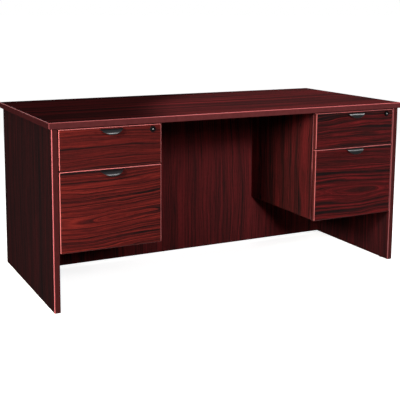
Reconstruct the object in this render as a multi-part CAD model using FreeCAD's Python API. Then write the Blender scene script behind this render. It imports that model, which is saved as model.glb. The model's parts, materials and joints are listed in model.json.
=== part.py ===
import FreeCAD, Part
import math
import os
from FreeCAD import Vector

os.makedirs("parts", exist_ok=True)

# Whole desk: millimetres, floor at z 0, front towards -Y
desk_height = 749.3
top_width = 1676.4
top_depth = 762.0
top_thick = 25.4
side_overhang = 12.0
front_overhang = 8.0
rear_overhang = 19.0
edge_radius = 2.5

# End panels and modesty panel
end_thick = 25.4
modesty_thick = 19.0
modesty_inset = 197.0
modesty_lift = 14.0

# Pedestal cases
kneehole_width = 742.0
case_thick = 16.0
case_edge_radius = 1.5
case_back_thick = 6.0
case_lap = 2.6
rear_rail_depth = 60.0
rear_rail_thick = 16.0

# Drawer fronts
front_thick = 19.0
box_front_height = 159.5
file_front_height = 320.0
top_reveal = 4.0
drawer_reveal = 4.0
side_reveal = 3.0
bumper_gap = 2.0

# Drawer boxes
drawer_back_room = 63.0
drawer_side_thick = 12.0
drawer_back_thick = 12.0
drawer_bottom_thick = 5.0
drawer_rim_radius = 3.0
box_side_height = 110.0
file_side_height = 250.0
box_side_lift = 16.0
file_side_lift = 26.0
back_drop = 10.0
groove_depth = 6.0
groove_lift = 10.0
groove_play = 0.2

# Telescopic slides
slide_space = 12.7
slide_set_back = 3.0
slide_steel = 1.2
slide_half_height = 22.5
slide_bend_radius = 1.0
slide_lip = 3.7
slide_lip_gap = 3.2
slide_web_gap = 2.0
slide_play = 0.3
ball_row = 3.2
moving_reach = 7.1
box_slide_height = 40.0
file_slide_height = 60.0

# Half-moon pulls
pull_width = 92.0
pull_height = 22.5
pull_depth = 18.0
pull_wall = 3.0
pull_tip = 3.0
pull_drop = 7.0
pull_screw_spacing = 64.0
pull_post_radius = 4.0
pull_post_drop = 8.0

# Key locks
lock_inset = 38.0
lock_drop = 19.0
lock_flange_radius = 12.5
lock_flange_thick = 5.0
lock_flange_bevel = 2.0
lock_barrel_radius = 9.5
lock_plug_radius = 6.0
lock_running_gap = 0.05
lock_nut_thick = 3.0
lock_nut_flat = 24.0
lock_nut_play = 0.1
lock_plug_recess = 0.4
key_slot_width = 2.0
key_slot_height = 8.0
key_slot_depth = 6.0
cam_thick = 2.0
cam_width = 14.0
cam_reach = 12.0
cam_clearance = 1.0
cam_hub_radius = 4.0
lock_rail_thick = 12.0
lock_rail_height = 12.0
lock_rail_set_back = 3.0

# Hanging file rails
hanger_inset = 21.7
hanger_steel = 3.0
hanger_height = 14.0
hanger_tab = 20.0
hanger_drop = 4.0

# Levelling glides
glide_foot_height = 4.0
glide_foot_radius = 11.0
glide_foot_chamfer = 1.0
glide_stem_radius = 4.0
glide_stem_length = 24.0
glide_set_in = 60.0
glide_running_gap = 0.05
insert_radius = 6.0
insert_length = 20.0
insert_play = 0.05
insert_hole_spare = 3.0

# Angle brackets under the top
bracket_leg = 38.0
bracket_width = 30.0
bracket_steel = 3.0
bracket_bend = 2.5
modesty_bracket_spacing = 620.0
end_bracket_set_in = 70.0

# Levels and lines that the pieces share
pull_beyond = max(0.0, pull_depth - front_overhang)
whole_depth = top_depth + pull_beyond
top_rear = whole_depth / 2
top_front = top_rear - top_depth
face_y = top_front + front_overhang
front_back_y = face_y + front_thick
case_front = front_back_y + bumper_gap
modesty_rear = top_rear - modesty_inset
case_rear = modesty_rear - modesty_thick
end_rear = top_rear - rear_overhang
top_under = desk_height - top_thick
end_outer = top_width / 2 - side_overhang
end_inner = end_outer - end_thick
case_inner = kneehole_width / 2
box_front_top = top_under - top_reveal
box_front_low = box_front_top - box_front_height
file_front_top = box_front_low - drawer_reveal
file_front_low = file_front_top - file_front_height
case_low = file_front_low + case_lap
lock_z = box_front_top - lock_drop
lock_rail_front = case_front + lock_rail_set_back
cam_front = lock_rail_front + lock_rail_thick + cam_clearance
drawer_rear = case_rear - case_back_thick - drawer_back_room
drawer_length = drawer_rear - front_back_y
slide_front = case_front + slide_set_back
slide_length = drawer_length


def block(x0, x1, y0, y1, z0, z1):
    return Part.makeBox(x1 - x0, y1 - y0, z1 - z0, Vector(x0, y0, z0))


def rod(radius, start, direction, length):
    return Part.makeCylinder(radius, length, start, direction)


def rounded(solid, radius, chosen):
    edges = [edge for edge in solid.Edges if chosen(edge.BoundBox)]
    return solid.makeFillet(radius, edges)


def upright(box):
    return box.XLength < 1e-4 and box.YLength < 1e-4


def flat(points):
    return Part.Face(Part.makePolygon([Vector(*p) for p in points + points[:1]]))


def save(node, *solids):
    shape = solids[0] if len(solids) == 1 else Part.makeCompound(list(solids))
    shape.exportStep("parts/" + node + ".step")


# Desk top, a slab with all its edges rounded
def make_top():
    slab = block(-top_width / 2, top_width / 2, top_front, top_rear, top_under, desk_height)
    save("desk_top", slab.makeFillet(edge_radius, slab.Edges))


# End panels stand on glides, so their lower edges have a blind hole for each insert
glide_places = {"front": face_y + glide_set_in, "rear": end_rear - glide_set_in}
glide_x = (end_inner + end_outer) / 2
insert_hole_depth = max(insert_length, glide_stem_length) + insert_hole_spare


def make_ends():
    for name, side in (("left", -1), ("right", 1)):
        x0, x1 = sorted((side * end_inner, side * end_outer))
        panel = block(x0, x1, face_y, end_rear, glide_foot_height, top_under)
        panel = rounded(panel, edge_radius, upright)
        for y in glide_places.values():
            mouth = Vector(side * glide_x, y, glide_foot_height)
            panel = panel.cut(rod(insert_radius, mouth, Vector(0, 0, 1), insert_hole_depth))
        save(name + "_end_panel", panel)


# Glides: a chamfered foot and a stem that runs in the insert
def make_glides():
    inserts = []
    up = Vector(0, 0, 1)
    for name, side in (("left", -1), ("right", 1)):
        for place, y in glide_places.items():
            floor = Vector(side * glide_x, y, 0)
            seat = Vector(side * glide_x, y, glide_foot_height)
            foot = rod(glide_foot_radius, floor, up, glide_foot_height)
            rim = [edge for edge in foot.Edges if edge.BoundBox.ZMax < 1e-4]
            foot = foot.makeChamfer(glide_foot_chamfer, rim)
            stem = rod(glide_stem_radius, seat, up, glide_stem_length)
            save("glide_" + name + "_" + place, foot.fuse(stem).removeSplitter())
            sleeve = rod(insert_radius - insert_play, seat, up, insert_length)
            bore = rod(glide_stem_radius + glide_running_gap, seat, up, insert_length)
            inserts.append(sleeve.cut(bore))
    save("glide_inserts", *inserts)


# Modesty panel between the end panels
def make_modesty():
    panel = block(-end_inner, end_inner, case_rear, modesty_rear, modesty_lift, top_under)
    save("modesty_panel", panel)


# Angle brackets: an L section with a bend
def make_bracket(corner, away):
    low = bracket_leg
    section = flat([(0, 0, 0), (low, 0, 0), (low, 0, -bracket_steel), (bracket_steel, 0, -bracket_steel),
                    (bracket_steel, 0, -low), (0, 0, -low)])
    angle = section.extrude(Vector(0, bracket_width, 0))
    angle = rounded(angle, bracket_bend, lambda b: b.XMax < 1e-4 and b.ZMin > -1e-4)
    angle.translate(Vector(0, -bracket_width / 2, 0))
    angle.rotate(Vector(0, 0, 0), Vector(0, 0, 1), away)
    angle.translate(corner)
    return angle


def make_brackets():
    brackets = []
    for side in (-1, 1):
        behind = Vector(side * modesty_bracket_spacing / 2, modesty_rear, top_under)
        brackets.append(make_bracket(behind, 90))
        beside = Vector(side * end_inner, end_rear - end_bracket_set_in, top_under)
        brackets.append(make_bracket(beside, 180 if side > 0 else 0))
    save("corner_brackets", *brackets)


# Slide members are steel sections; u runs from the case wall to the drawer, v upwards
race = slide_half_height - slide_steel
middle_half = race - ball_row - 2 * slide_play
middle_web = slide_steel + slide_web_gap
inner_race = middle_half - slide_steel
moving_half = inner_race - ball_row - 2 * slide_play
moving_edge = slide_space - moving_reach
fixed_edge = slide_space - slide_lip_gap
middle_edge = slide_space - slide_steel - slide_play


def run(section, wall_x, toward, middle_z):
    points = [(wall_x + toward * u, slide_front, middle_z + v) for u, v in section]
    return flat(points).extrude(Vector(0, slide_length, 0))


def mirrored(upper):
    return upper + [(u, -v) for u, v in reversed(upper)]


def fixed_member(wall_x, toward, middle_z):
    top = slide_half_height
    lip_inner = fixed_edge - slide_steel
    lip_low = top - slide_lip
    upper = [(0, top), (fixed_edge, top), (fixed_edge, lip_low), (lip_inner, lip_low),
             (lip_inner, race), (slide_steel, race)]
    member = run(mirrored(upper), wall_x, toward, middle_z)
    low = middle_z - top + 1e-4
    high = middle_z + top - 1e-4
    return rounded(member, slide_bend_radius,
                   lambda b: b.YLength > 1 and (b.ZMin > high or b.ZMax < low))


def middle_member(wall_x, toward, middle_z):
    upper = [(middle_web, middle_half), (middle_edge, middle_half), (middle_edge, inner_race),
             (middle_web + slide_steel, inner_race)]
    return run(mirrored(upper), wall_x, toward, middle_z)


def moving_member(wall_x, toward, middle_z):
    web = slide_space - slide_steel
    under = moving_half - slide_steel
    upper = [(web, under), (moving_edge, under), (moving_edge, moving_half), (slide_space, moving_half)]
    return run(mirrored(upper), wall_x, toward, middle_z)


# Ball retainers fill the two races above and the two below the middle
def ball_strips(wall_x, toward, middle_z):
    outer_end = fixed_edge - slide_steel - slide_play
    inner_start = max(moving_edge, middle_web + slide_steel + slide_play)
    strips = []
    for flip in (-1, 1):
        outer = [(middle_web, middle_half + slide_play), (outer_end, middle_half + slide_play),
                 (outer_end, race - slide_play), (middle_web, race - slide_play)]
        inner = [(inner_start, moving_half + slide_play), (middle_edge, moving_half + slide_play),
                 (middle_edge, inner_race - slide_play), (inner_start, inner_race - slide_play)]
        for section in (outer, inner):
            strips.append(run([(u, flip * v) for u, v in section], wall_x, toward, middle_z))
    return strips


# Half-moon pull: a bulging lid, straight along its top edge, open below for the fingers
# Its side profile is an arc that leaves the drawer front at the top and hangs plumb at the rim
def make_pull(middle_x, top_z):
    radius = (pull_depth ** 2 + pull_height ** 2) / (2 * pull_depth)
    inner = radius - pull_wall
    centre_y = face_y - pull_depth + radius
    centre_z = top_z - pull_height
    behind = centre_y - face_y
    seat_z = centre_z + math.sqrt(inner ** 2 - behind ** 2)
    turn = math.atan2(pull_height, -behind)

    def on_arc(size, angle):
        return Vector(0, centre_y + size * math.cos(angle), centre_z + size * math.sin(angle))

    inner_turn = math.atan2(seat_z - centre_z, -behind)
    skin = Part.Arc(on_arc(radius, turn), on_arc(radius, (turn + math.pi) / 2),
                    on_arc(radius, math.pi)).toShape()
    lining = Part.Arc(on_arc(inner, math.pi), on_arc(inner, (inner_turn + math.pi) / 2),
                      on_arc(inner, inner_turn)).toShape()
    section = Part.Wire([skin, Part.makeLine(on_arc(radius, math.pi), on_arc(inner, math.pi)), lining,
                         Part.makeLine(on_arc(inner, inner_turn), on_arc(radius, turn))])
    sheet = Part.Face(section).extrude(Vector(pull_width, 0, 0))
    sheet.translate(Vector(middle_x - pull_width / 2, 0, 0))

    half = pull_width / 2
    corners = [Vector(middle_x + s * half, face_y, top_z) for s in (-1, 1)]
    tips = [Vector(middle_x + s * half, face_y, top_z - pull_tip) for s in (-1, 1)]
    bottom = Vector(middle_x, face_y, top_z - pull_height)
    moon = Part.Wire([Part.makeLine(corners[0], tips[0]), Part.Arc(tips[0], bottom, tips[1]).toShape(),
                      Part.makeLine(tips[1], corners[1]), Part.makeLine(corners[1], corners[0])])
    solid = sheet.common(Part.Face(moon).extrude(Vector(0, -2 * pull_depth, 0))).Solids[0]
    post_z = top_z - pull_post_drop
    skin_y = centre_y - math.sqrt(radius ** 2 - (post_z + pull_post_radius - centre_z) ** 2)
    for side in (-1, 1):
        foot = Vector(middle_x + side * pull_screw_spacing / 2, face_y, post_z)
        post = rod(pull_post_radius, foot, Vector(0, -1, 0), face_y - skin_y - pull_wall / 2)
        solid = solid.fuse(post)
    return solid.removeSplitter()


# Key lock in a box drawer front: flanged housing with a nut, turning plug, cam behind the rail
def make_lock(name, lock_x):
    back = Vector(0, 1, 0)
    nose = face_y - lock_flange_thick
    plug_front = nose + lock_plug_recess
    barrel_end = cam_front
    flange = rod(lock_flange_radius, Vector(lock_x, nose, lock_z), back, lock_flange_thick)
    lip = [edge for edge in flange.Edges if edge.BoundBox.YMax < nose + 1e-4]
    flange = flange.makeChamfer(lock_flange_bevel, lip)
    barrel = rod(lock_barrel_radius, Vector(lock_x, face_y, lock_z), back, barrel_end - face_y)
    bore = rod(lock_plug_radius, Vector(lock_x, nose, lock_z), back, barrel_end - nose)
    housing = flange.fuse(barrel).removeSplitter().cut(bore)

    corner = lock_nut_flat / math.sqrt(3)
    ring = []
    for step in range(6):
        turn = math.radians(60 * step)
        ring.append((lock_x + corner * math.cos(turn), front_back_y, lock_z + corner * math.sin(turn)))
    nut = flat(ring).extrude(Vector(0, lock_nut_thick, 0))
    nut_seat = Vector(lock_x, front_back_y, lock_z)
    nut_hole = rod(lock_barrel_radius + lock_nut_play, nut_seat, back, lock_nut_thick)
    save(name + "_lock_housing", housing, nut.cut(nut_hole))

    plug_nose = Vector(lock_x, plug_front, lock_z)
    body = rod(lock_plug_radius - lock_running_gap, plug_nose, back, barrel_end - plug_front)
    stub = rod(cam_hub_radius, Vector(lock_x, barrel_end, lock_z), back, cam_thick)
    slot = block(lock_x - key_slot_width / 2, lock_x + key_slot_width / 2,
                 plug_front, plug_front + key_slot_depth,
                 lock_z - key_slot_height / 2, lock_z + key_slot_height / 2)
    save(name + "_lock_plug", body.fuse(stub).removeSplitter().cut(slot))

    hub = rod(cam_width / 2, Vector(lock_x, cam_front, lock_z), back, cam_thick)
    tip = rod(cam_width / 2, Vector(lock_x - cam_reach, cam_front, lock_z), back, cam_thick)
    arm = block(lock_x - cam_reach, lock_x, cam_front, cam_front + cam_thick,
                lock_z - cam_width / 2, lock_z + cam_width / 2)
    eye = rod(cam_hub_radius, Vector(lock_x, cam_front, lock_z), back, cam_thick)
    save(name + "_lock_cam", hub.fuse(tip).fuse(arm).removeSplitter().cut(eye))


# One drawer: overlay front, grooved sides, bottom in the grooves, back on it, pull and slides
def make_drawer(name, walls, fronts, front_low, front_top, side_lift, side_height, slide_height,
                lock_x=None):
    x0, x1 = walls
    side_low = front_low + side_lift
    side_top = side_low + side_height
    left_out = x0 + slide_space
    right_out = x1 - slide_space
    left_in = left_out + drawer_side_thick
    right_in = right_out - drawer_side_thick
    floor_low = side_low + groove_lift
    floor_top = floor_low + drawer_bottom_thick
    groove_top = floor_top + groove_play
    floor_x0 = left_in - groove_depth + groove_play
    floor_x1 = right_in + groove_depth - groove_play

    front = block(fronts[0], fronts[1], face_y, front_back_y, front_low, front_top)
    front = rounded(front, edge_radius, lambda b: b.YMax < face_y + 1e-4 or b.YLength > front_thick - 1e-4)
    groove = block(left_in - groove_depth, right_in + groove_depth,
                   front_back_y - groove_depth, front_back_y, floor_low, groove_top)
    front = front.cut(groove)
    if lock_x is not None:
        mouth = Vector(lock_x, face_y, lock_z)
        front = front.cut(rod(lock_barrel_radius, mouth, Vector(0, 1, 0), front_thick))
    save(name + "_front", front)

    sides = []
    for outer, inner in ((left_out, left_in), (right_out, right_in)):
        side = block(min(outer, inner), max(outer, inner), front_back_y, drawer_rear, side_low, side_top)
        side = rounded(side, drawer_rim_radius, lambda b: b.YLength > 1 and b.ZMin > side_top - 1e-4)
        reach = math.copysign(groove_depth, outer - inner)
        slot = block(min(inner, inner + reach), max(inner, inner + reach), front_back_y, drawer_rear,
                     floor_low, groove_top)
        sides.append(side.cut(slot))
    save(name + "_sides", *sides)

    save(name + "_bottom", block(floor_x0, floor_x1, front_back_y - groove_depth + groove_play, drawer_rear,
                                 floor_low, floor_top))
    save(name + "_back", block(left_in, right_in, drawer_rear - drawer_back_thick, drawer_rear,
                               groove_top, side_top - back_drop))
    save(name + "_pull", make_pull((fronts[0] + fronts[1]) / 2, front_top - pull_drop))

    middle_z = side_low + slide_height
    members = {"fixed": fixed_member, "moving": moving_member}
    for part, make in members.items():
        save(name + "_slide_" + part, make(x0, 1, middle_z), make(x1, -1, middle_z))
    middles = []
    for wall_x, toward in ((x0, 1), (x1, -1)):
        middles.append(middle_member(wall_x, toward, middle_z))
        middles.extend(ball_strips(wall_x, toward, middle_z))
    save(name + "_slide_middle", *middles)
    return left_in, right_in, side_top


# Hanging file rails: flat bars with a tab bent at each end
def make_hangers(name, left_in, right_in, side_top):
    y0 = front_back_y
    y1 = drawer_rear - drawer_back_thick
    top = side_top - back_drop - hanger_drop
    bars = []
    for side, out in ((-1, left_in + hanger_inset), (1, right_in - hanger_inset)):
        web = out - side * hanger_steel
        tab = out - side * hanger_tab
        plan = [(out, y0), (out, y1), (tab, y1), (tab, y1 - hanger_steel), (web, y1 - hanger_steel),
                (web, y0 + hanger_steel), (tab, y0 + hanger_steel), (tab, y0)]
        section = flat([(x, y, top - hanger_height) for x, y in plan])
        bars.append(section.extrude(Vector(0, 0, hanger_height)))
    save(name + "_hanger_rails", *bars)


# One pedestal: an open-fronted case hung between the top, the end panel and the modesty panel
def make_pedestal(name, side):
    x0, x1 = sorted((side * case_inner, side * end_inner))
    walls = (x0 + case_thick, x1 - case_thick)
    back_y = case_rear - case_back_thick
    for part, low, high in (("inner" if side > 0 else "outer", x0, walls[0]),
                            ("outer" if side > 0 else "inner", walls[1], x1)):
        board = block(low, high, case_front, case_rear, case_low, top_under)
        board = rounded(board, case_edge_radius, lambda b: upright(b) and b.YMax < case_front + 1e-4)
        save(name + "_pedestal_" + part + "_side", board)
    save(name + "_pedestal_bottom", block(*walls, case_front, back_y, case_low, case_low + case_thick))
    save(name + "_pedestal_back", block(*walls, back_y, case_rear, case_low, top_under))
    lock_rail = block(*walls, lock_rail_front, lock_rail_front + lock_rail_thick,
                      top_under - lock_rail_height, top_under)
    rear_rail = block(*walls, back_y - rear_rail_depth, back_y, top_under - rear_rail_thick, top_under)
    save(name + "_pedestal_rails", lock_rail, rear_rail)

    fronts = tuple(sorted((side * (case_inner + side_reveal), side * (end_inner - side_reveal))))
    lock_x = fronts[1] - lock_inset
    make_drawer(name + "_box", walls, fronts, box_front_low, box_front_top, box_side_lift, box_side_height,
                box_slide_height, lock_x)
    make_lock(name, lock_x)
    inside = make_drawer(name + "_file", walls, fronts, file_front_low, file_front_top, file_side_lift,
                         file_side_height, file_slide_height)
    make_hangers(name + "_file", *inside)


make_top()
make_ends()
make_glides()
make_modesty()
make_brackets()
make_pedestal("left", -1)
make_pedestal("right", 1)
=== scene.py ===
import json
import math

import bmesh
import bpy
from mathutils import Matrix, Vector

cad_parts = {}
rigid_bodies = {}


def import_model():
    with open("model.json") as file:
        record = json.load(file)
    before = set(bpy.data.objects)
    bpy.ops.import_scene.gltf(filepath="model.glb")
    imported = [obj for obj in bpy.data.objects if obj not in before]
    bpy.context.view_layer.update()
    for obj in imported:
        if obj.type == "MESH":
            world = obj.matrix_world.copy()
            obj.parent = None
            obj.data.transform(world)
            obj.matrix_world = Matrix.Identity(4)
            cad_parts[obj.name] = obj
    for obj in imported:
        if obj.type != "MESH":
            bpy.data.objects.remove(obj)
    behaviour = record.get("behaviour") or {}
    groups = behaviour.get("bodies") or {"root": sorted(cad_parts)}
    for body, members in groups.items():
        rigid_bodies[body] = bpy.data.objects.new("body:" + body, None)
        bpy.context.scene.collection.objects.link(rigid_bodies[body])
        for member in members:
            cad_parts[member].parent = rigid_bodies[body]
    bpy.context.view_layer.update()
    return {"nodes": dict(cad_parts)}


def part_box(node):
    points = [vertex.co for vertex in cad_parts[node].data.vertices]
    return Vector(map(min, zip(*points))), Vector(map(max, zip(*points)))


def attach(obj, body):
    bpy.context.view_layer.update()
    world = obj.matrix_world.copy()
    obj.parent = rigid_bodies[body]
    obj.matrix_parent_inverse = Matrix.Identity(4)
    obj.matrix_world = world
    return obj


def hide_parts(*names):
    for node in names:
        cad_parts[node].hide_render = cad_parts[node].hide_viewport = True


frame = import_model()
scene = bpy.context.scene
print("frame loaded:", len(frame["nodes"]), "nodes")

# Shader helpers


def newFinish(name):
    finish = bpy.data.materials.new(name)
    finish.use_nodes = True
    tree = finish.node_tree
    return finish, tree, tree.nodes["Principled BSDF"]


def addNode(tree, kind, settings=None, values=None):
    node = tree.nodes.new(kind)
    for key, value in (settings or {}).items():
        setattr(node, key, value)
    for key, value in (values or {}).items():
        node.inputs[key].default_value = value
    return node


def wire(tree, source, output, target, socket):
    tree.links.new(source.outputs[output], target.inputs[socket])


def mathNode(tree, operation, first, second):
    node = addNode(tree, "ShaderNodeMath", {"operation": operation})
    for index, value in enumerate((first, second)):
        if isinstance(value, (int, float)):
            node.inputs[index].default_value = value
        else:
            tree.links.new(value, node.inputs[index])
    return node.outputs[0]


def stretched(tree, place, amounts):
    node = addNode(tree, "ShaderNodeVectorMath", {"operation": "MULTIPLY"}, {1: amounts})
    tree.links.new(place, node.inputs[0])
    return node.outputs[0]


def noiseOf(tree, place, amounts, detail=2.0, rough=0.5):
    node = addNode(tree, "ShaderNodeTexNoise", None, {"Scale": 1.0, "Detail": detail, "Roughness": rough})
    tree.links.new(stretched(tree, place, amounts), node.inputs["Vector"])
    return node.outputs["Fac"]


def rampOf(tree, factor, stops):
    node = addNode(tree, "ShaderNodeValToRGB")
    points = node.color_ramp.elements
    while len(points) < len(stops):
        points.new(0.5)
    for point, (position, colour) in zip(points, stops):
        point.position = position
        point.color = (*colour, 1.0)
    tree.links.new(factor, node.inputs["Fac"])
    return node.outputs["Color"]


def gray(tone):
    return (tone, tone, tone)


# Along the grain, across it, and through the board, as numbers of the axes
grainAxes = {"alongX": (0, 2, 1), "alongXflat": (0, 1, 2), "alongZ": (2, 0, 1), "alongZdeep": (2, 1, 0)}


def grainPlace(tree, grain, shift):
    where = addNode(tree, "ShaderNodeTexCoord")
    apart = addNode(tree, "ShaderNodeSeparateXYZ")
    wire(tree, where, "Object", apart, 0)
    turned = addNode(tree, "ShaderNodeCombineXYZ")
    for target, source in enumerate(grainAxes[grain]):
        tree.links.new(apart.outputs[source], turned.inputs[target])
    moved = addNode(tree, "ShaderNodeVectorMath", {"operation": "ADD"}, {1: shift})
    wire(tree, turned, 0, moved, 0)
    return moved.outputs[0]


mahogany = {
    "dark": (0.010, 0.0044, 0.0046),
    "brown": (0.044, 0.0071, 0.0070),
    # The warm reds are painted warm lamp light, used on the left fronts; the cool reds are the print's colour
    "warm": ((0.092, 0.0098, 0.0090), (0.195, 0.0200, 0.0155)),
    "cool": ((0.092, 0.0088, 0.0096), (0.195, 0.0148, 0.0165)),
    "tones": (0.05, 0.36, 0.60, 1.0),  # where dark, brown and the two reds stand
    "ringsPerMetre": 60.0,
    "roughness": (0.42, 0.56),
    "gloss": 0.03,
    "middleTone": 0.54,
    "sway": 0.075,  # how far the heart line wanders, in metres
    "core": (0.004, 0.040, 0.22),  # a brighter heart: from, to and how much
    "ripple": 1.3,
    "crowding": (0.55, 2.6),  # how often rings crowd, and how much
    "lineLevel": 0.90,
    "bump": (0.10, 0.0002),
}
# Noise sizes along the grain, across it and through the board
grainNoise = {"bend": (1.5, 2.6, 2.6), "wave": (4.5, 26.0, 26.0), "rise": (1.7, 2.0, 2.0),
              "strength": (1.6, 0.95, 9.0), "band": (0.8, 0.42, 5.0), "streak": (1.1, 2.0, 20.0),
              "fibre": (7.0, 18.0, 100.0), "pore": (42.0, 1100.0, 1100.0)}
# Gray steps of one ring from its line to the next, of how strong rings show, and of the pores
grainSteps = {"line": ((0.0, 0.0), (0.06, 0.55), (0.16, 0.88), (0.55, 1.0), (0.90, 0.90), (1.0, 0.05)),
              "strength": ((0.34, 0.25), (0.66, 1.0)), "pore": ((0.60, 1.0), (0.70, 0.6))}


def graySteps(tree, factor, stops):
    return rampOf(tree, factor, [(position, gray(tone)) for position, tone in stops])


# How far a noise swings from its middle, times a share
def swing(tree, noise, share):
    return mathNode(tree, "MULTIPLY", mathNode(tree, "SUBTRACT", noise, 0.5), share)


# Printed mahogany: rings around a heart line, streaks that follow them, fibres and pores
# heart is the across place of the heart line, deep its distance behind the face, loops how far that wanders
# figure is how strong lines, bands, streaks and fibres show; the pale gray added last is a painted sheen,
# standing in for a faint reflection
def mahoganyLaminate(name, grain, shift, bright=0.0, heart=2.0, deep=0.05, loops=0.0, gloss=None,
                     figure=(0.85, 0.85, 1.75, 0.50), veil=0.0, rings=mahogany["ringsPerMetre"], hue="cool"):
    finish, tree, shader = newFinish(name)
    place = grainPlace(tree, grain, shift)
    apart = addNode(tree, "ShaderNodeSeparateXYZ")
    tree.links.new(place, apart.inputs[0])
    along, across, through = apart.outputs
    bend = noiseOf(tree, place, grainNoise["bend"], 1.0)
    wave = noiseOf(tree, place, grainNoise["wave"], 2.0)
    rise = noiseOf(tree, place, grainNoise["rise"], 1.0)
    away = mathNode(tree, "SUBTRACT", across, shift[1] + heart)
    away = mathNode(tree, "ADD", away, swing(tree, bend, mahogany["sway"]))
    lift = mathNode(tree, "ADD", swing(tree, rise, loops), deep)
    ring = mathNode(tree, "ADD", mathNode(tree, "MULTIPLY", away, away),
                    mathNode(tree, "MULTIPLY", lift, lift))
    apartness = mathNode(tree, "SQRT", ring, 0.0)
    field = mathNode(tree, "MULTIPLY", apartness, rings)
    near, far, glow = mahogany["core"]
    core = addNode(tree, "ShaderNodeMapRange", {"interpolation_type": "SMOOTHSTEP"},
                   {"From Min": near, "From Max": far, "To Min": glow, "To Max": 0.0})
    tree.links.new(apartness, core.inputs["Value"])
    field = mathNode(tree, "ADD", field, mathNode(tree, "MULTIPLY", wave, mahogany["ripple"]))
    often, push = mahogany["crowding"]
    crowd = addNode(tree, "ShaderNodeTexNoise", {"noise_dimensions": "1D"}, {"Scale": often, "Detail": 1.0})
    tree.links.new(field, crowd.inputs["W"])
    field = mathNode(tree, "ADD", field, mathNode(tree, "MULTIPLY", crowd.outputs["Fac"], push))
    flow = addNode(tree, "ShaderNodeCombineXYZ")
    tree.links.new(along, flow.inputs[0])
    tree.links.new(field, flow.inputs[1])
    tree.links.new(through, flow.inputs[2])
    flow = flow.outputs[0]
    line = graySteps(tree, mathNode(tree, "FRACT", field, 0.0), grainSteps["line"])
    strength = graySteps(tree, noiseOf(tree, flow, grainNoise["strength"], 1.0), grainSteps["strength"])
    band = noiseOf(tree, flow, grainNoise["band"], 1.0)
    streak = noiseOf(tree, flow, grainNoise["streak"], 4.0, 0.80)
    fibre = noiseOf(tree, flow, grainNoise["fibre"], 2.0, 0.6)
    pore = noiseOf(tree, place, grainNoise["pore"], 0.0)
    tone = mathNode(tree, "MULTIPLY", mathNode(tree, "SUBTRACT", line, mahogany["lineLevel"]), strength)
    tone = mathNode(tree, "ADD", mathNode(tree, "MULTIPLY", tone, figure[0]), mahogany["middleTone"] + bright)
    tone = mathNode(tree, "ADD", tone, core.outputs["Result"])
    for layer, share in zip((band, streak, fibre), figure[1:]):
        tone = mathNode(tree, "ADD", tone, swing(tree, layer, share))
    shades = (mahogany["dark"], mahogany["brown"], *mahogany[hue])
    colour = rampOf(tree, tone, list(zip(mahogany["tones"], shades)))
    specks = graySteps(tree, pore, grainSteps["pore"])
    mixed = addNode(tree, "ShaderNodeMix", {"data_type": "RGBA", "blend_type": "MULTIPLY"}, {0: 1.0})
    tree.links.new(colour, mixed.inputs[6])
    tree.links.new(specks, mixed.inputs[7])
    # Adds pale gray to the colour: a painted sheen in place of a faint reflection
    sheenLifted = addNode(tree, "ShaderNodeMix", {"data_type": "RGBA", "blend_type": "ADD"}, {0: 1.0})
    sheenLifted.inputs[7].default_value = (*gray(veil), 1.0)
    tree.links.new(mixed.outputs[2], sheenLifted.inputs[6])
    tree.links.new(sheenLifted.outputs[2], shader.inputs["Base Color"])
    low, high = mahogany["roughness"]
    rough = addNode(tree, "ShaderNodeMapRange", None, {"To Min": high, "To Max": low})
    tree.links.new(fibre, rough.inputs["Value"])
    wire(tree, rough, "Result", shader, "Roughness")
    strong, tall = mahogany["bump"]
    bump = addNode(tree, "ShaderNodeBump", None, {"Strength": strong, "Distance": tall})
    tree.links.new(fibre, bump.inputs["Height"])
    wire(tree, bump, "Normal", shader, "Normal")
    shader.inputs["Specular IOR Level"].default_value = mahogany["gloss"] if gloss is None else gloss
    return finish


mottleMake = {"detail": 3.0, "rough": 0.6, "darkAt": 0.25, "lightAt": 0.75, "bump": 0.25}


# Solid finishes with a little life in colour, roughness and bump
def mottled(name, dark, light, rough, amounts, metal=0.0, gloss=0.5, bumpSize=0.0):
    finish, tree, shader = newFinish(name)
    where = addNode(tree, "ShaderNodeTexCoord")
    place = where.outputs["Object"]
    cloud = noiseOf(tree, place, amounts, mottleMake["detail"], mottleMake["rough"])
    colour = rampOf(tree, cloud, ((mottleMake["darkAt"], dark), (mottleMake["lightAt"], light)))
    tree.links.new(colour, shader.inputs["Base Color"])
    spread = addNode(tree, "ShaderNodeMapRange", None, {"To Min": rough[0], "To Max": rough[1]})
    tree.links.new(cloud, spread.inputs["Value"])
    wire(tree, spread, "Result", shader, "Roughness")
    shader.inputs["Metallic"].default_value = metal
    shader.inputs["Specular IOR Level"].default_value = gloss
    if bumpSize:
        bump = addNode(tree, "ShaderNodeBump", None, {"Strength": mottleMake["bump"], "Distance": bumpSize})
        tree.links.new(cloud, bump.inputs["Height"])
        wire(tree, bump, "Normal", shader, "Normal")
    return finish


edgeBand = mottled("edgeBand", (0.082, 0.0140, 0.0140), (0.115, 0.0195, 0.0190), (0.40, 0.50),
                   (60.0, 60.0, 60.0), gloss=0.05)
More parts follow.
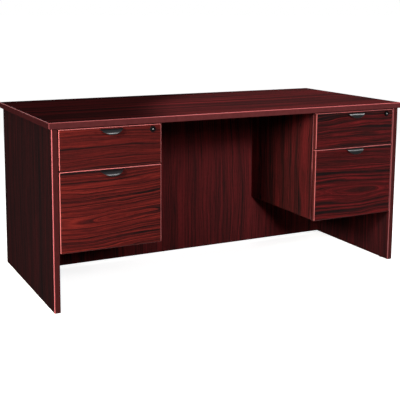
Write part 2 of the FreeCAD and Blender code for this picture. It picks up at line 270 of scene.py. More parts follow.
# Pale pink on the rounded corners: a painted highlight along the edges; the brighter arris one is on the
# top's rounded edges and the left end's front corner
trimmedEdge = mottled("trimmedEdge", (0.56, 0.130, 0.130), (0.70, 0.172, 0.172), (0.26, 0.36),
                      (90.0, 90.0, 90.0), gloss=0.28)
trimmedArris = mottled("trimmedArris", (0.74, 0.155, 0.155), (0.88, 0.195, 0.195), (0.34, 0.44),
                       (90.0, 90.0, 90.0), gloss=0.05)
seamGlue = mottled("seamGlue", (0.012, 0.004, 0.004), (0.020, 0.006, 0.006), (0.6, 0.8),
                   (200.0, 200.0, 200.0), gloss=0.05)
pullBlack = mottled("pullBlack", (0.0035, 0.0035, 0.0042), (0.0065, 0.0065, 0.0078), (0.27, 0.33),
                    (240.0, 240.0, 240.0), gloss=0.14, bumpSize=0.00002)
lockBright = mottled("lockBright", (0.42, 0.42, 0.41), (0.60, 0.60, 0.58), (0.16, 0.26),
                     (500.0, 90.0, 500.0), metal=1.0)
lockBlack = mottled("lockBlack", (0.0016, 0.0016, 0.0018), (0.0030, 0.0030, 0.0033), (0.09, 0.14),
                    (500.0, 90.0, 500.0), gloss=0.03)
zincSteel = mottled("zincSteel", (0.24, 0.25, 0.26), (0.37, 0.38, 0.39), (0.34, 0.52), (40.0, 12.0, 260.0),
                    metal=1.0)
bracketZinc = mottled("bracketZinc", (0.22, 0.22, 0.21), (0.36, 0.35, 0.33), (0.34, 0.54), (55.0, 55.0, 55.0),
                      metal=1.0)
glidePlastic = mottled("glidePlastic", (0.014, 0.014, 0.014), (0.026, 0.026, 0.027), (0.42, 0.58),
                       (300.0, 300.0, 300.0), gloss=0.4)
rawBoard = mottled("rawBoard", (0.16, 0.10, 0.062), (0.34, 0.235, 0.15), (0.8, 0.95), (420.0, 420.0, 420.0),
                   gloss=0.15, bumpSize=0.0003)
drawerFoil = mottled("drawerFoil", (0.052, 0.022, 0.016), (0.094, 0.040, 0.029), (0.50, 0.62),
                     (260.0, 5.0, 420.0), gloss=0.25)
print("finishes made")

# Mesh helpers
hair = 1e-6  # places closer than this are the same


def makePiece(name, built, body, finishes, nodes=()):
    mesh = bpy.data.meshes.new(name)
    built.to_mesh(mesh)
    built.free()
    for finish in finishes:
        mesh.materials.append(finish)
    for face in mesh.polygons:
        face.use_smooth = True
    piece = bpy.data.objects.new(name, mesh)
    scene.collection.objects.link(piece)
    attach(piece, body)
    if nodes:
        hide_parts(*nodes)
    return piece


def solidBoxes(node):
    shell = bmesh.new()
    shell.from_mesh(frame["nodes"][node].data)
    bmesh.ops.remove_doubles(shell, verts=shell.verts, dist=hair)
    left = set(shell.verts)
    boxes = []
    while left:
        reach = [left.pop()]
        seen = list(reach)
        while reach:
            for edge in reach.pop().link_edges:
                for vert in edge.verts:
                    if vert in left:
                        left.remove(vert)
                        reach.append(vert)
                        seen.append(vert)
        low = Vector([min(v.co[k] for v in seen) for k in range(3)])
        high = Vector([max(v.co[k] for v in seen) for k in range(3)])
        boxes.append((low, high))
    shell.free()
    return sorted(boxes, key=lambda box: tuple(round(value, 4) for value in (box[0] + box[1])))


def boxMesh(low, high):
    built = bmesh.new()
    bmesh.ops.create_cube(built, size=1.0)
    for vert in built.verts:
        for axis in range(3):
            vert.co[axis] = high[axis] if vert.co[axis] > 0 else low[axis]
    return built


def cutAway(piece, cutters):
    for number, cutter in enumerate(cutters):
        mesh = bpy.data.meshes.new("cutter")
        cutter.to_mesh(mesh)
        cutter.free()
        tool = bpy.data.objects.new("cutter", mesh)
        scene.collection.objects.link(tool)
        cut = piece.modifiers.new("cut" + str(number), "BOOLEAN")
        cut.operation = "DIFFERENCE"
        cut.solver = "EXACT"
        cut.object = tool
        shaped = bpy.data.meshes.new_from_object(piece.evaluated_get(bpy.context.evaluated_depsgraph_get()))
        piece.modifiers.clear()
        old = piece.data
        shaped.name = old.name + "Cut"
        piece.data = shaped
        bpy.data.meshes.remove(old)
        bpy.data.objects.remove(tool)
        bpy.data.meshes.remove(mesh)


def addRod(built, centre, axis, radius, length, sides):
    turn = Vector((0, 0, 1)).rotation_difference(Vector(axis)).to_matrix().to_4x4()
    bmesh.ops.create_cone(built, cap_ends=True, segments=sides, radius1=radius, radius2=radius, depth=length,
                          matrix=Matrix.Translation(centre) @ turn)


def rodMesh(centre, axis, radius, length, sides=40):
    built = bmesh.new()
    addRod(built, centre, axis, radius, length, sides)
    return built


def evenNormals(piece):
    flatten = piece.modifiers.new("evenNormals", "WEIGHTED_NORMAL")
    flatten.keep_sharp = True
    flatten.weight = 80
    return piece


boardMake = {"bandFlat": 0.0006, "seamWidth": 0.0004, "seamDepth": 0.00015, "roundSteps": 4, "flat": 0.999,
             "tilted": 0.05}


# A board: rounded banded edges, printed faces, and a fine glue line between the two
def bandedBoard(low, high, faceAxis, isRounded, radius):
    built = boxMesh(low, high)
    chosen = [edge for edge in built.edges if isRounded(*(vert.co for vert in edge.verts))]
    if chosen:
        bmesh.ops.bevel(built, geom=chosen, offset=radius, segments=boardMake["roundSteps"], profile=0.5,
                        affect="EDGES")
    built.faces.ensure_lookup_table()
    built.normal_update()
    printed = []
    for face in built.faces:
        turned = [abs(value) for value in face.normal]
        if turned[faceAxis] > boardMake["flat"]:
            face.material_index = 0
            printed.append(face)
        else:
            # Roundings that face down stay plain band; the rest carry the painted highlight
            plain = max(turned) > boardMake["flat"] or face.normal.z < -boardMake["tilted"]
            face.material_index = 1 if plain else 2
    for face in printed:
        steps = ((boardMake["bandFlat"], 0.0, 1), (boardMake["seamWidth"], -boardMake["seamDepth"], 3),
                 (boardMake["seamWidth"], boardMake["seamDepth"], 3))
        for width, depth, number in steps:
            ring = bmesh.ops.inset_individual(built, faces=[face], thickness=width, depth=depth)
            for side in ring["faces"]:
                side.material_index = number
    return built


def allEdges(first, second):
    return True


def sameOn(first, second, axes):
    return all(abs(first[axis] - second[axis]) < hair for axis in axes)


def uprightEdges(first, second):
    return sameOn(first, second, (0, 1))


def boardFinishes(printed):
    return [printed, edgeBand, trimmedEdge, seamGlue]


foilWrapped = [drawerFoil] * 3 + [seamGlue]
rawEdged = [drawerFoil, rawBoard, rawBoard, seamGlue]

# Top slab
# The top's added gray is a painted sheen
topLook = {"radius": 0.0025, "shift": (3.1, 1.7, 0.4), "bright": 0.02, "heart": -1.1,
           "figure": (0.9, 1.4, 1.8, 0.5), "veil": 0.009}
low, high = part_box("desk_top")
topBand = mottled("topBand", (0.180, 0.0390, 0.0400), (0.235, 0.0510, 0.0520), (0.40, 0.50),
                  (60.0, 60.0, 60.0), gloss=0.0)
topPrint = mahoganyLaminate("topLaminate", "alongXflat", topLook["shift"], topLook["bright"],
                            topLook["heart"], gloss=0.0, figure=topLook["figure"], veil=topLook["veil"])
deskTop = makePiece("deskTop", bandedBoard(low, high, 2, allEdges, topLook["radius"]), "frame",
                    [topPrint, topBand, trimmedArris, seamGlue], ["desk_top"])
evenNormals(deskTop)
print("top made")

# End panels on their glides
# bright darkens both ends, the right one most, as painted shade; the added gray is a painted sheen, largest
# on the left end
endLook = {"radius": 0.0030, "strip": 0.0036, "insertHole": 0.006, "insertDepth": 0.027,
           "figure": (0.4, 0.35, 2.2, 0.6), "shift": {"left": (7.3, 2.2, 1.1), "right": (5.4, 8.6, 3.0)},
           "veil": {"left": 0.026, "right": 0.007}, "bright": {"left": -0.04, "right": -0.09},
           "arris": {"left": trimmedArris, "right": trimmedEdge}}


def frontUprights(low):
    return lambda first, second: uprightEdges(first, second) and first.y < low.y + hair


def rearUprights(high):
    return lambda first, second: uprightEdges(first, second) and first.y > high.y - hair


# The rounded strip on the front of an end: plain band, with a painted highlight on its left rounded corner
def edgeStrip(low, high, radius):
    built = boxMesh(low, high)
    chosen = [edge for edge in built.edges if frontUprights(low)(*(vert.co for vert in edge.verts))]
    bmesh.ops.bevel(built, geom=chosen, offset=radius, segments=boardMake["roundSteps"], profile=0.5,
                    affect="EDGES")
    built.normal_update()
    for face in built.faces:
        face.material_index = 1 if boardMake["tilted"] < -face.normal.x < boardMake["flat"] else 0
    return built


glideSpots = {}
for side in ("left", "right"):
    for end in ("front", "rear"):
        low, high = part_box("glide_" + side + "_" + end)
        glideSpots[side, end] = (low + high) / 2
for side in ("left", "right"):
    low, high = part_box(side + "_end_panel")
    printed = mahoganyLaminate(side + "EndLaminate", "alongZdeep", endLook["shift"][side],
                               endLook["bright"][side], gloss=0.0, figure=endLook["figure"],
                               veil=endLook["veil"][side])
    seam = low.y + endLook["strip"]
    strip = edgeStrip(low, Vector((high.x, seam, high.z)), endLook["radius"])
    evenNormals(makePiece(side + "EndEdge", strip, "frame",
                          [edgeBand, endLook["arris"][side]], [side + "_end_panel"]))
    board = bandedBoard(Vector((low.x, seam, low.z)), high, 0, rearUprights(high), endLook["radius"])
    panel = makePiece(side + "EndPanel", board, "frame", boardFinishes(printed),
                      [side + "_end_panel"])
    holes = []
    for end in ("front", "rear"):
        spot = glideSpots[side, end]
        middle = (spot.x, spot.y, low.z)
        holes.append(rodMesh(middle, (0, 0, 1), endLook["insertHole"], 2 * endLook["insertDepth"]))
    cutAway(panel, holes)
    evenNormals(panel)
print("ends made")

# Modesty panel and the two pedestal cases
# The added gray on cases and modesty is a painted sheen; the modesty's bright lightens it as painted light
caseLook = {"radius": 0.0015, "ease": 0.0006, "figure": (1.5, 0.8, 2.2, 0.6), "veil": 0.005, "rings": 34.0,
            "sideShift": {"left": (4.4, 3.3, 0.9), "right": (9.2, 3.3, 0.9)},
            "floorShift": {"left": (4.4, 5.0, 2.0), "right": (9.2, 5.0, 2.0)}, "floorBright": -0.08}
modestyLook = {"shift": (1.9, 7.4, 2.7), "bright": 0.17, "figure": (0.4, 0.35, 2.8, 0.8), "veil": 0.010}


def lowerLong(low):
    return lambda first, second: sameOn(first, second, (1, 2)) and first.z < low.z + hair


low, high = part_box("modesty_panel")
printed = mahoganyLaminate("modestyLaminate", "alongZ", modestyLook["shift"], modestyLook["bright"],
                           gloss=0.0, figure=modestyLook["figure"], veil=modestyLook["veil"])
modesty = makePiece("modestyPanel", bandedBoard(low, high, 1, lowerLong(low), caseLook["radius"]), "frame",
                    boardFinishes(printed), ["modesty_panel"])
evenNormals(modesty)
for side in ("left", "right"):
    caseSidePrint = mahoganyLaminate(side + "CaseLaminate", "alongZdeep", caseLook["sideShift"][side],
                                     gloss=0.0, figure=caseLook["figure"], veil=caseLook["veil"],
                                     rings=caseLook["rings"])
    caseFlatPrint = mahoganyLaminate(side + "CaseFloorLaminate", "alongXflat", caseLook["floorShift"][side],
                                     caseLook["floorBright"])
    for part in ("inner_side", "outer_side"):
        node = side + "_pedestal_" + part
        low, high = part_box(node)
        name = side + "Pedestal" + part.split("_")[0].capitalize() + "Side"
        board = bandedBoard(low, high, 0, frontUprights(low), caseLook["radius"])
        evenNormals(makePiece(name, board, "frame", boardFinishes(caseSidePrint),
                              [node]))
    node = side + "_pedestal_bottom"
    low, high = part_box(node)
    board = bandedBoard(low, high, 2, lowerLong(low), caseLook["ease"])
    evenNormals(makePiece(side + "PedestalBottom", board, "frame",
                          boardFinishes(caseFlatPrint), [node]))
    node = side + "_pedestal_back"
    low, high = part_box(node)
    board = bandedBoard(low, high, 1, lowerLong(low), caseLook["ease"])
    evenNormals(makePiece(side + "PedestalBack", board, "frame", rawEdged, [node]))
    node = side + "_pedestal_rails"
    for number, (low, high) in enumerate(solidBoxes(node)):
        board = bandedBoard(low, high, 1, allEdges, caseLook["ease"])
        evenNormals(makePiece(side + "PedestalRail" + "AB"[number], board, "frame",
                              boardFinishes(caseFlatPrint), [node]))
print("cases made")

# Drawers: banded fronts and foil-wrapped boxes
drawerLook = {"radius": 0.0025, "rim": 0.003, "ease": 0.0005, "groovePlay": 0.0002, "lockBore": 0.0095,
              "lockReach": 0.1, "clear": 0.01}
# bright is set per front to the light: painted shade darkens the right box front most; the warm hue on the
# left fronts is painted warm light
frontLook = {
    "left_box": {"shift": (2.35, 0.12, 0.3), "heart": (0.30, 0.05, 0.06), "figure": (0.9, 0.5, 1.7, 0.8),
                 "bright": -0.04, "hue": "warm"},
    "left_file": {"shift": (9.52, 0.85, 2.2), "heart": (0.365, 0.012, 0.11), "figure": (1.5, 0.7, 2.6, 1.1),
                  "bright": 0.03, "hue": "warm"},
    "right_box": {"shift": (8.8, 1.9, 2.3), "heart": (0.30, 0.05, 0.08), "figure": (1.3, 0.5, 3.6, 1.2),
                  "bright": -0.20, "hue": "cool"},
    "right_file": {"shift": (11.2, 3.4, 0.7), "heart": (0.350, 0.010, 0.12), "figure": (1.1, 0.3, 2.5, 1.1),
                   "bright": 0.0, "hue": "cool"},
}


def frontFace(low):
    return lambda first, second: (max(first.y, second.y) < low.y + hair) or sameOn(first, second, (0, 2))


def rimEdges(high):
    return lambda first, second: sameOn(first, second, (0, 2)) and first.z > high.z - hair


def camelName(stem):
    words = stem.split("_")
    return words[0] + "".join(word.capitalize() for word in words[1:])


for stem, look in frontLook.items():
    body = stem + "_drawer"
    name = camelName(stem)
    floorLow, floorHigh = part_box(stem + "_bottom")
    low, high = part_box(stem + "_front")
    printed = mahoganyLaminate(name + "FrontLaminate", "alongX", look["shift"], look["bright"],
                               *look["heart"], figure=look["figure"], hue=look["hue"])
    front = makePiece(name + "Front", bandedBoard(low, high, 1, frontFace(low), drawerLook["radius"]), body,
                      boardFinishes(printed), [stem + "_front"])
    play, clear = drawerLook["groovePlay"], drawerLook["clear"]
    cutters = [boxMesh((floorLow.x - play, floorLow.y - play, floorLow.z),
                       (floorHigh.x + play, high.y + clear, floorHigh.z + play))]
    if stem.endswith("_box"):
        lockLow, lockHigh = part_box(stem.split("_")[0] + "_lock_plug")
        lockMiddle = (lockLow + lockHigh) / 2
        cutters.append(rodMesh((lockMiddle.x, low.y, lockMiddle.z), (0, 1, 0), drawerLook["lockBore"],
                               drawerLook["lockReach"]))
    cutAway(front, cutters)
    evenNormals(front)
    for number, (low, high) in enumerate(solidBoxes(stem + "_sides")):
        board = bandedBoard(low, high, 0, rimEdges(high), drawerLook["rim"])
        side = makePiece(name + "Side" + "LR"[number], board, body, foilWrapped,
                         [stem + "_sides"])
        cutAway(side, [boxMesh((floorLow.x - play, low.y - clear, floorLow.z),
                               (floorHigh.x + play, high.y + clear, floorHigh.z + play))])
        evenNormals(side)
    board = bandedBoard(floorLow, floorHigh, 2, allEdges, drawerLook["ease"])
    evenNormals(makePiece(name + "Bottom", board, body, rawEdged, [stem + "_bottom"]))
    low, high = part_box(stem + "_back")
    board = bandedBoard(low, high, 1, allEdges, drawerLook["ease"])
    evenNormals(makePiece(name + "Back", board, body, foilWrapped, [stem + "_back"]))
print("drawers made")

# Pulls: a bulging half-moon lid with a rolled rim, screwed on from behind
pullLook = {"columns": 56, "skinSteps": 12, "rimSteps": 6, "wall": 0.003, "tip": 0.003, "postRadius": 0.004,
            "postDrop": 0.008, "postHalf": 0.032, "screwRadius": 0.0042, "screwHeight": 0.0024,
            "postSides": 28, "crease": 50.0, "least": 1e-4}


def gridFaces(built, rows, closed):
    for first, second in zip(rows, rows[1:]):
        count = len(first)
        for index in range(count if closed else count - 1):
            after = (index + 1) % count
            built.faces.new((first[index], first[after], second[after], second[index]))


def pullMesh(low, high, faceY):
    depth = faceY - low.y
    height = high.z - low.z
    half = (high.x - low.x) / 2
    middle = (low.x + high.x) / 2
    radius = (depth ** 2 + height ** 2) / (2 * depth)
    centreY = faceY - depth + radius
    drop = height - pullLook["tip"]
    moon = (half ** 2 + drop ** 2) / (2 * drop)
    wall = pullLook["wall"]

    def skinY(size, level):
        return centreY - math.sqrt(max(size ** 2 - (level - low.z) ** 2, 0.0))

    built = bmesh.new()
    columns = []
    count = pullLook["columns"]
    for index in range(count + 1):
        across = -half * math.cos(math.pi * index / count)
        rim = low.z + moon - math.sqrt(moon ** 2 - across ** 2) + wall / 2
        innerTop = low.z + math.sqrt((radius - wall) ** 2 - (centreY - faceY) ** 2)
        points = []
        for step in range(pullLook["skinSteps"] + 1):
            level = high.z + (rim - high.z) * step / pullLook["skinSteps"]
            points.append((skinY(radius, level), level))
        outerY, innerY = skinY(radius, rim), skinY(radius - wall, rim)
        for step in range(1, pullLook["rimSteps"]):
            turn = math.pi * step / pullLook["rimSteps"]
            points.append(((outerY + innerY) / 2 - math.cos(turn) * (innerY - outerY) / 2,
                           rim - math.sin(turn) * wall / 2))
        for step in range(pullLook["skinSteps"] + 1):
            level = rim + (max(innerTop, rim + pullLook["least"]) - rim) * step / pullLook["skinSteps"]
            points.append((min(skinY(radius - wall, level), faceY), level))
        columns.append([built.verts.new((middle + across, y, z)) for y, z in points])
    gridFaces(built, columns, True)
    for ends in (columns[0], columns[-1]):
        built.faces.new(ends)
    for side in (-1, 1):
        spot = Vector((middle + side * pullLook["postHalf"], faceY, high.z - pullLook["postDrop"]))
        reach = faceY - skinY(radius, spot.z + pullLook["postRadius"]) - wall / 2
        addRod(built, spot - Vector((0, reach / 2, 0)), (0, 1, 0), pullLook["postRadius"], reach,
               pullLook["postSides"])
    bmesh.ops.recalc_face_normals(built, faces=built.faces)
    return built


# A turned shape: pairs of distance along the axis and radius, spun about it
def addLathe(built, centre, axis, outline, sides=40):
    turn = Vector((0, 0, 1)).rotation_difference(Vector(axis)).to_matrix()
    rows = []
    for step in range(sides):
        angle = 2 * math.pi * step / sides
        row = []
        for reach, size in outline:
            spot = Vector((size * math.cos(angle), size * math.sin(angle), reach))
            row.append(built.verts.new(Vector(centre) + turn @ spot))
        rows.append(row)
    gridFaces(built, rows + rows[:1], False)
    for index in (0, -1):
        if outline[index][1] > 0:
            built.faces.new([row[index] for row in rows])
    bmesh.ops.recalc_face_normals(built, faces=built.faces)


# Shares of a screw head's radius and height, and the tiny flat at the bottom of its recess
headLook = {"steps": 6, "crown": 0.45, "recess": 0.42, "point": 0.20, "deep": 0.45, "flat": 0.0004,
            "sides": 20, "crease": 40.0}


# A recessed pan head: centre is where it seats, axis points away from the seat
def addScrew(built, centre, axis, radius, height):
    outline = [(0.0, radius)]
    crown, deep = headLook["crown"], height * headLook["deep"]
    for step in range(1, headLook["steps"]):
        turn = math.pi / 2 * step / headLook["steps"]
        outline.append((height * math.sin(turn), radius * (crown + (1.0 - crown) * math.cos(turn))))
    outline += [(height, radius * headLook["recess"]), (deep, radius * headLook["point"]),
                (deep, headLook["flat"])]
    addLathe(built, centre, axis, outline, headLook["sides"])


# Edges that turn more than this stay sharp
def crease(piece, degrees):
    piece.data.set_sharp_from_angle(angle=math.radians(degrees))


for stem in frontLook:
    name = camelName(stem)
    frontLow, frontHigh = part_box(stem + "_front")
    low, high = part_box(stem + "_pull")
    pull = makePiece(name + "Pull", pullMesh(low, high, frontLow.y), stem + "_drawer",
                     [pullBlack], [stem + "_pull"])
    crease(pull, pullLook["crease"])
    heads = bmesh.new()
    middle = (low.x + high.x) / 2
    for side in (-1, 1):
        spot = (middle + side * pullLook["postHalf"], frontHigh.y, high.z - pullLook["postDrop"])
        addScrew(heads, spot, (0, 1, 0), pullLook["screwRadius"], pullLook["screwHeight"])
    screws = makePiece(name + "PullScrews", heads, stem + "_drawer", [zincSteel])
    crease(screws, headLook["crease"])
print("pulls made")

# Locks: turned housing with a rounded flange, hexagon nut, and a plug with its key slot
# lip is the mouth of the bore: pairs of depth behind the nose and distance out from the bore
lockLook = {"flange": 0.0125, "barrel": 0.0095, "bore": 0.006, "rounding": 0.0042, "dome": 0.0036,
            "domeSteps": 8, "sides": 48, "crease": 35.0,
            "lip": ((0.0009, 0.0), (0.0003, 0.0003), (0.0, 0.0010), (0.0002, 0.0016), (0.0, 0.0022)),
            "plug": 0.00595, "plate": 0.0030, "plateStep": 0.0002, "plugChamfer": 0.0005, "hub": 0.004,
            "tip": 0.0004, "slotWide": 0.002, "slotTall": 0.008, "slotDeep": 0.006, "nutFlat": 0.024,
            "nutThick": 0.003, "nutHole": 0.0096, "nutChamfer": 0.0006, "nutTop": 0.95}
for side in ("left", "right"):
    frontLow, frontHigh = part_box(side + "_box_front")
    plugLow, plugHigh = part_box(side + "_lock_plug")
    middle = (plugLow + plugHigh) / 2
    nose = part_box(side + "_lock_housing")[0].y
    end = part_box(side + "_lock_cam")[0].y
    thick = frontLow.y - nose
    bevel = lockLook["rounding"]
    dome = lockLook["dome"]
    outline = [(end - nose, lockLook["bore"])]
    outline += [(inward, lockLook["bore"] + beyond) for inward, beyond in lockLook["lip"]]
    for step in range(lockLook["domeSteps"] + 1):
        turn = math.pi / 2 * step / lockLook["domeSteps"]
        outline.append((dome - dome * math.cos(turn), lockLook["flange"] - bevel + bevel * math.sin(turn)))
    outline += [(thick, lockLook["flange"]), (thick, lockLook["barrel"]), (end - nose, lockLook["barrel"])]
    built = bmesh.new()
    addLathe(built, (middle.x, nose, middle.z), (0, 1, 0), outline + outline[:1], lockLook["sides"])
    turns = [math.radians(60 * number) for number in range(6)]
    corners = [(math.cos(turn), math.sin(turn)) for turn in turns]
    corner = lockLook["nutFlat"] / math.sqrt(3)
    nutLow = frontHigh.y
    nutHigh = nutLow + lockLook["nutThick"]
    loops = []
    for y, size in ((nutLow, corner), (nutHigh - lockLook["nutChamfer"], corner),
                    (nutHigh, corner * lockLook["nutTop"]), (nutHigh, lockLook["nutHole"]),
                    (nutLow, lockLook["nutHole"])):
        loops.append([built.verts.new((middle.x + size * u, y, middle.z + size * v)) for u, v in corners])
    gridFaces(built, loops + loops[:1], True)
    bmesh.ops.recalc_face_normals(built, faces=built.faces)
    house = makePiece(side + "LockHousing", built, side + "_box_drawer", [lockBlack],
                      [side + "_lock_housing"])
    crease(house, lockLook["crease"])
    built = bmesh.new()
    spot = Vector((middle.x, plugLow.y, middle.z))
    ledge, chamfer, rim = lockLook["plateStep"], lockLook["plugChamfer"], lockLook["plug"]
    plate, hub = lockLook["plate"], lockLook["hub"]
    plugLength = end - plugLow.y
    addLathe(built, spot, (0, 1, 0), [
        (0.0, lockLook["tip"]), (0.0, plate), (ledge, plate + ledge), (ledge, rim - chamfer),
        (ledge + chamfer, rim), (plugLength, rim), (plugLength, hub), (plugHigh.y - plugLow.y, hub)])
    for face in built.faces:
        face.material_index = 1 if face.calc_center_median().y < plugLow.y + ledge / 4 else 0
    plug = makePiece(side + "LockPlug", built, side + "_lock_core", [lockBlack, lockBright],
                     [side + "_lock_plug"])
    half = Vector((lockLook["slotWide"] / 2, lockLook["slotDeep"], lockLook["slotTall"] / 2))
    cutAway(plug, [boxMesh(spot - half, spot + half)])
    crease(plug, lockLook["crease"])
print("locks made")

# Glides: a moulded foot with a rolled edge on a threaded stem
# shoulder and point are pairs of distance up from the top of foot or stem, and out from its radius
glideLook = {"foot": 0.011, "footHeight": 0.004, "stem": 0.00395, "pitch": 0.0015, "thread": 0.00055,
             "edge": 0.0012, "edgeSteps": 6, "middle": 0.0006, "crease": 40.0, "least": 1e-4,
             "shoulder": ((-0.0006, -0.0004), (0.0, -0.0012)),
             "point": ((-0.0006, -0.0003), (0.0, -0.0010))}
for (side, end), spot in glideSpots.items():
    node = "glide_" + side + "_" + end
    low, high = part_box(node)
    edge, foot, footHeight = glideLook["edge"], glideLook["foot"], glideLook["footHeight"]
    stem, pitch, length = glideLook["stem"], glideLook["pitch"], high.z - low.z
    outline = [(0.0, glideLook["middle"]), (0.0, foot - edge)]
    for step in range(1, glideLook["edgeSteps"] + 1):
        turn = math.pi / 2 * step / glideLook["edgeSteps"]
        outline.append((edge - edge * math.cos(turn), foot - edge + edge * math.sin(turn)))
    outline += [(footHeight + up, foot + out) for up, out in glideLook["shoulder"]]
    outline.append((footHeight, stem))
    reach = footHeight + pitch
    while reach < length - pitch:
        outline += [(reach, stem), (reach + pitch / 2, stem - glideLook["thread"])]
        reach += pitch
    outline += [(length + up, stem + out) for up, out in glideLook["point"]]
    built = bmesh.new()
    addLathe(built, (spot.x, spot.y, low.z), (0, 0, 1), outline)
    stemLow = low.z + footHeight + glideLook["least"]
    for face in built.faces:
        face.material_index = 1 if face.calc_center_median().z > stemLow else 0
    glide = makePiece(camelName(node), built, node, [glidePlastic, zincSteel], [node])
    crease(glide, glideLook["crease"])
print("glides made")

# Screws of the angle brackets and of the drawer members of the slides
screwLook = {"radius": 0.0042, "height": 0.0022, "alongLeg": 0.62, "bracketSteel": 0.003,
             "bracketHalf": 0.008, "endsFrom": 0.7, "slideRadius": 0.0038, "slideHeight": 0.0016,
             "slideSteel": 0.0012, "slidePlaces": (0.035, 0.190, 0.400)}
heads = bmesh.new()
for low, high in solidBoxes("corner_brackets"):
    middle = (low + high) / 2
    thick = screwLook["bracketSteel"]
    reach = (high.z - low.z) * screwLook["alongLeg"]
    onEnd = abs(middle.x) > screwLook["endsFrom"]
    if onEnd:
        away = -1 if middle.x > 0 else 1
        wall = high.x if middle.x > 0 else low.x
    else:
        away = 1
        wall = low.y
    for offset in (-screwLook["bracketHalf"], screwLook["bracketHalf"]):
        if onEnd:
            upper = (wall + away * reach, middle.y + offset, high.z - thick)
            side = (wall + away * thick, middle.y + offset, high.z - reach)
            axis = (away, 0, 0)
        else:
            upper = (middle.x + offset, wall + away * reach, high.z - thick)
            side = (middle.x + offset, wall + away * thick, high.z - reach)
            axis = (0, away, 0)
        addScrew(heads, upper, (0, 0, -1), screwLook["radius"], screwLook["height"])
        addScrew(heads, side, axis, screwLook["radius"], screwLook["height"])
crease(makePiece("bracketScrews", heads, "frame", [bracketZinc]), headLook["crease"])
for stem in frontLook:
    heads = bmesh.new()
    floorLow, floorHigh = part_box(stem + "_bottom")
    for low, high in solidBoxes(stem + "_slide_moving"):
        onLeft = low.x < (floorLow.x + floorHigh.x) / 2
        web = high.x - screwLook["slideSteel"] if onLeft else low.x + screwLook["slideSteel"]
        for along in screwLook["slidePlaces"]:
            addScrew(heads, (web, low.y + along, (low.z + high.z) / 2), (-1 if onLeft else 1, 0, 0),
                     screwLook["slideRadius"], screwLook["slideHeight"])
    screws = makePiece(camelName(stem) + "SlideScrews", heads, stem + "_drawer", [bracketZinc])
    crease(screws, headLook["crease"])
print("screws made")

# Finishes for the solids that show as they are
for node, shown in frame["nodes"].items():
    finish = None
    if "_slide_" in node:
        finish = zincSteel
    elif node.endswith(("_hanger_rails", "_lock_cam", "corner_brackets", "glide_inserts")):
        finish = bracketZinc
    if finish:
        shown.data.materials.clear()
        shown.data.materials.append(finish)

# Floor and light
floorLook = {"size": 240.0, "seen": (0.90, 0.90, 0.90), "bounce": (0.08, 0.08, 0.08), "glowNear": 0.84,
             "glowFar": 1.0, "near": 3.0, "far": 9.0}


def seenRays(tree):
    path = addNode(tree, "ShaderNodeLightPath")
    shown = mathNode(tree, "MAXIMUM", path.outputs["Is Camera Ray"], path.outputs["Is Glossy Ray"])
    return mathNode(tree, "MAXIMUM", shown, path.outputs["Is Transmission Ray"])


def makeFloor():
    built = bmesh.new()
    bmesh.ops.create_grid(built, x_segments=1, y_segments=1, size=floorLook["size"] / 2)
    mesh = bpy.data.meshes.new("floor")
    built.to_mesh(mesh)
    built.free()
    floor = bpy.data.objects.new("floor", mesh)
    scene.collection.objects.link(floor)
    finish, tree, shader = newFinish("paleFloor")
    tree.nodes.remove(shader)
    target = tree.nodes["Material Output"]
    shown = seenRays(tree)
    paper = addNode(tree, "ShaderNodeBsdfDiffuse", None, {"Color": (*floorLook["seen"], 1.0)})
    where = addNode(tree, "ShaderNodeTexCoord")
    away = addNode(tree, "ShaderNodeVectorMath", {"operation": "LENGTH"})
    wire(tree, where, "Object", away, 0)
    fade = addNode(tree, "ShaderNodeMapRange", {"interpolation_type": "SMOOTHSTEP"},
                   {"From Min": floorLook["near"], "From Max": floorLook["far"],
                    "To Min": floorLook["glowNear"], "To Max": floorLook["glowFar"]})
    tree.links.new(away.outputs["Value"], fade.inputs["Value"])
    glow = addNode(tree, "ShaderNodeEmission")
    wire(tree, fade, "Result", glow, "Strength")
    both = addNode(tree, "ShaderNodeAddShader")
    wire(tree, paper, 0, both, 0)
    wire(tree, glow, 0, both, 1)
    dull = addNode(tree, "ShaderNodeBsdfDiffuse", None, {"Color": (*floorLook["bounce"], 1.0)})
    mix = addNode(tree, "ShaderNodeMixShader")
    tree.links.new(shown, mix.inputs[0])
    wire(tree, dull, 0, mix, 1)
    wire(tree, both, 0, mix, 2)
    wire(tree, mix, 0, target, "Surface")
    mesh.materials.append(finish)


makeFloor()
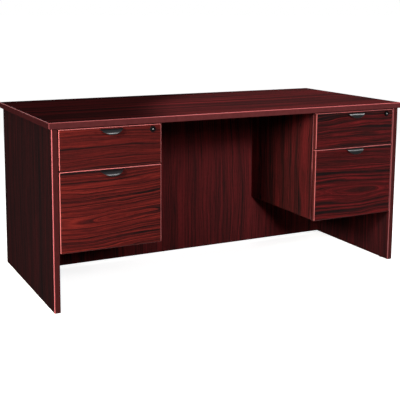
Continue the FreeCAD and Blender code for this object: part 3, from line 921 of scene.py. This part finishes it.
# flagged: pieces that a lamp leaves out; only: the pieces that it lights; cone: a spot instead of a panel
lamps = {
    "front": {"place": (-0.90, -4.95, 2.50), "aim": (0.0, -0.3, 0.5), "size": (2.0, 1.4), "power": 78.0},
    "left": {"place": (-4.20, -1.00, 0.66), "aim": (-0.8, 0.0, 0.5), "size": (1.0, 1.0), "power": 24.0},
    "side": {"place": (-2.47, -1.27, 1.30), "aim": (0.1, -0.3, 0.5), "size": (0.6, 0.6), "power": 76.0,
             "colour": (1.0, 0.95, 0.80),
             "flagged": ["deskTop", "leftEndPanel", "leftEndEdge", "rightEndPanel", "rightEndEdge"]},
    "foot": {"place": (-2.47, -1.60, 1.55), "aim": (0.8, -0.3, 0.1), "size": (0.6, 0.6), "power": 56.0,
             "only": ["rightEndPanel"]},
    "edge": {"place": (-3.20, -0.75, 0.90), "aim": (-0.8, -0.37, 0.4), "size": (0.60, 0.90), "power": 60.0,
             "only": ["leftEndEdge"]},
    "arris": {"place": (3.20, -0.75, 0.95), "aim": (0.6, -0.38, 0.6), "size": (0.40, 0.40), "power": 45.0,
              "only": ["leftBoxFront", "leftFileFront", "rightBoxFront", "rightFileFront"]},
    "glint": {"place": (0.43, -3.05, 1.63), "aim": (-0.4, -0.38, 0.6), "size": (0.34, 0.34), "power": 18.0,
              "flagged": ["modestyPanel"]},
    "kneePool": {"place": (-0.90, -3.00, 1.73), "aim": (0.36, 0.16, 0.30), "size": (0.25, 0.25),
                 "power": 150.0, "cone": 15.0, "softness": 0.90, "only": ["modestyPanel"]},
    "overhead": {"place": (1.7, -0.2, 2.2), "aim": (0.5, 0.0, 0.7), "size": (0.90, 0.45), "power": 31.0,
                 "flagged": ["deskTop"]},
    "topPool": {"place": (0.55, -0.51, 3.20), "aim": (0.55, -0.50, 0.75), "size": (0.06, 0.06),
                "power": 160.0, "cone": 45.0, "softness": 0.30, "only": ["deskTop"]},
    "rear": {"place": (1.4, 3.2, 1.7), "aim": (0.2, 0.2, 0.4), "size": (1.4, 0.9), "power": 34.0},
    "pullGlint": {"place": (0.43, -3.05, 1.63), "aim": (-0.6, -0.38, 0.6), "size": (0.40, 0.30),
                  "power": 75.0, "only": ["leftBoxPull", "leftFilePull", "leftLockHousing"]},
    "pullBand": {"place": (1.7, -0.2, 2.2), "aim": (0.6, -0.38, 0.6), "size": (0.90, 0.45), "power": 42.0,
                 "only": ["rightBoxPull", "rightFilePull", "rightLockHousing"]},
    "pullRim": {"place": (-2.3, -1.2, 0.12), "aim": (-0.6, -0.38, 0.6), "size": (0.40, 0.40), "power": 45.0,
                "only": ["leftBoxPull", "leftFilePull", "leftLockHousing"]},
}
for name, lamp in lamps.items():
    light = bpy.data.lights.new(name, "SPOT" if "cone" in lamp else "AREA")
    if "cone" in lamp:
        light.spot_size = math.radians(lamp["cone"])
        light.spot_blend = lamp["softness"]
        light.shadow_soft_size = lamp["size"][0]
    else:
        light.shape = "RECTANGLE"
        light.size, light.size_y = lamp["size"]
    light.energy = lamp["power"]
    light.color = lamp.get("colour", (1.0, 1.0, 1.0))
    holder = bpy.data.objects.new(name, light)
    holder.location = lamp["place"]
    away = Vector(lamp["aim"]) - Vector(lamp["place"])
    holder.rotation_euler = away.to_track_quat("-Z", "Y").to_euler()
    holder.visible_camera = False
    scene.collection.objects.link(holder)
    for key, state in (("flagged", "EXCLUDE"), ("only", "INCLUDE")):
        if key in lamp:
            linked = bpy.data.collections.new(name + "Linked")
            holder.light_linking.receiver_collection = linked
            for number, piece in enumerate(lamp[key]):
                linked.objects.link(bpy.data.objects[piece])
                linked.collection_objects[number].light_linking.link_state = state
studioLook = {"seen": (1.0, 1.0, 1.0), "fill": (1.0, 0.98, 0.96), "fillStrength": 0.035}
studio = bpy.data.worlds.new("studio")
studio.use_nodes = True
tree = studio.node_tree
fill = tree.nodes["Background"]
fill.inputs["Color"].default_value = (*studioLook["fill"], 1.0)
fill.inputs["Strength"].default_value = studioLook["fillStrength"]
white = addNode(tree, "ShaderNodeBackground", None, {"Color": (*studioLook["seen"], 1.0), "Strength": 1.0})
mix = addNode(tree, "ShaderNodeMixShader")
tree.links.new(seenRays(tree), mix.inputs[0])
wire(tree, fill, 0, mix, 1)
wire(tree, white, 0, mix, 2)
wire(tree, mix, 0, tree.nodes["World Output"], "Surface")
scene.world = studio

# Camera at the photographed angle
cameraLook = {"place": (-1.716, -3.297, 1.171), "turn": (81.72, -0.25, -26.18), "lens": 73.64,
              "sensor": 36.0, "shift": (0.04, -0.18)}
camera = bpy.data.objects.new("camera", bpy.data.cameras.new("camera"))
camera.location = cameraLook["place"]
camera.rotation_euler = [math.radians(value) for value in cameraLook["turn"]]
camera.data.lens = cameraLook["lens"]
camera.data.sensor_width = cameraLook["sensor"]
camera.data.shift_x, camera.data.shift_y = cameraLook["shift"]
scene.collection.objects.link(camera)
scene.camera = camera
scene.view_settings.view_transform = "Standard"
print("stage made")
